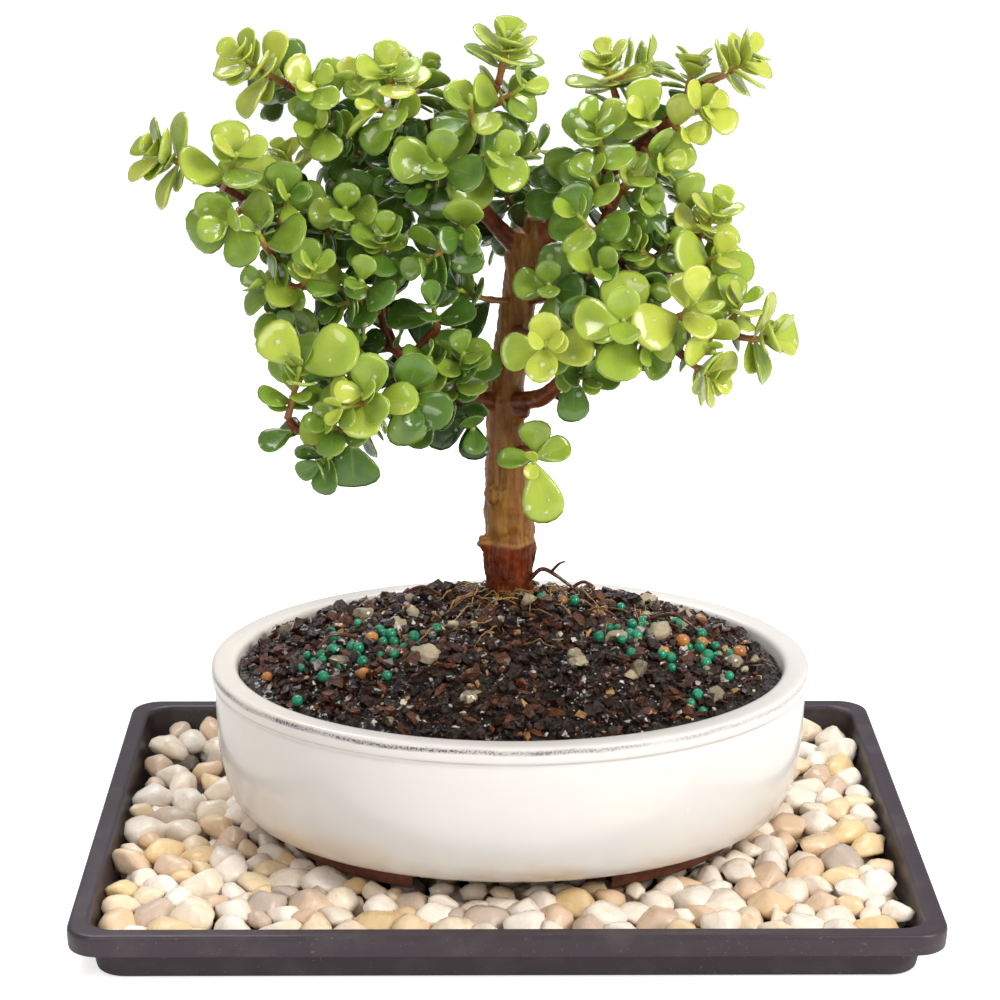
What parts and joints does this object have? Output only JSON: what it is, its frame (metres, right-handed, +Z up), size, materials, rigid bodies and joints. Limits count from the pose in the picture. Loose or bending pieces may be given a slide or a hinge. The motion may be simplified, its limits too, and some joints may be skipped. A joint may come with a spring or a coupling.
{
  "type": "jade bonsai in a pot",
  "caption": "Dwarf jade bonsai with plump leaves in an oval glazed pot, on a pebble-filled humidity tray.",
  "frame": {"origin": "middle of the tray's underside, on the surface that it stands on", "axes": "+Z up, +X along the tray and the pot's long side, -Y towards the front of the tree"},
  "size_m": [0.28, 0.206, 0.2928],
  "materials": {
    "tray_plastic": "dark purple-brown satin plastic",
    "pebbles": "worn cream and white river pebbles",
    "pot_glaze": "glossy cream-white glaze, bare red-brown feet",
    "screen_plastic": "dark plastic mesh",
    "soil": "moist dark soil with bark, grit and feed beads",
    "bark": "smooth tan-brown bark with rings and scars",
    "jade_leaf": "glossy plump green leaves with pale rims"
  },
  "bodies": {
    "root": {"tray": "tray_plastic", "pebble_bed": "pebbles", "pot": "pot_glaze", "drain_screen_left": "screen_plastic", "drain_screen_right": "screen_plastic", "soil": "soil", "trunk": "bark", "leafy_stem_01": "jade_leaf", "leafy_stem_02": "jade_leaf", "leafy_stem_03": "jade_leaf", "leafy_stem_04": "jade_leaf", "leafy_stem_05": "jade_leaf", "leafy_stem_06": "jade_leaf", "leafy_stem_07": "jade_leaf", "leafy_stem_08": "jade_leaf", "leafy_stem_09": "jade_leaf", "leafy_stem_10": "jade_leaf", "leafy_stem_11": "jade_leaf", "leafy_stem_12": "jade_leaf", "leafy_stem_13": "jade_leaf", "leafy_stem_14": "jade_leaf", "leafy_stem_15": "jade_leaf", "leafy_stem_16": "jade_leaf", "leafy_stem_17": "jade_leaf", "leafy_stem_18": "jade_leaf", "leafy_stem_19": "jade_leaf", "leafy_stem_20": "jade_leaf", "leafy_stem_21": "jade_leaf", "leafy_stem_22": "jade_leaf", "leafy_stem_23": "jade_leaf", "leafy_stem_24": "jade_leaf", "leafy_stem_25": "jade_leaf", "leafy_stem_26": "jade_leaf", "leafy_stem_27": "jade_leaf", "leafy_stem_28": "jade_leaf", "leafy_stem_29": "jade_leaf", "leafy_stem_30": "jade_leaf", "leafy_stem_31": "jade_leaf", "leafy_stem_32": "jade_leaf", "leafy_stem_33": "jade_leaf", "leafy_stem_34": "jade_leaf", "leafy_stem_35": "jade_leaf", "leafy_stem_36": "jade_leaf", "leafy_stem_37": "jade_leaf", "leafy_stem_38": "jade_leaf", "leafy_stem_39": "jade_leaf", "leafy_stem_40": "jade_leaf", "leafy_stem_41": "jade_leaf", "leafy_stem_42": "jade_leaf", "leafy_stem_43": "jade_leaf", "leafy_stem_44": "jade_leaf", "leafy_stem_45": "jade_leaf", "leafy_stem_46": "jade_leaf", "leafy_stem_47": "jade_leaf", "leafy_stem_48": "jade_leaf", "leafy_stem_49": "jade_leaf", "leafy_stem_50": "jade_leaf", "leafy_stem_51": "jade_leaf", "leafy_stem_52": "jade_leaf", "leafy_stem_53": "jade_leaf"}
  },
  "joints": []
}
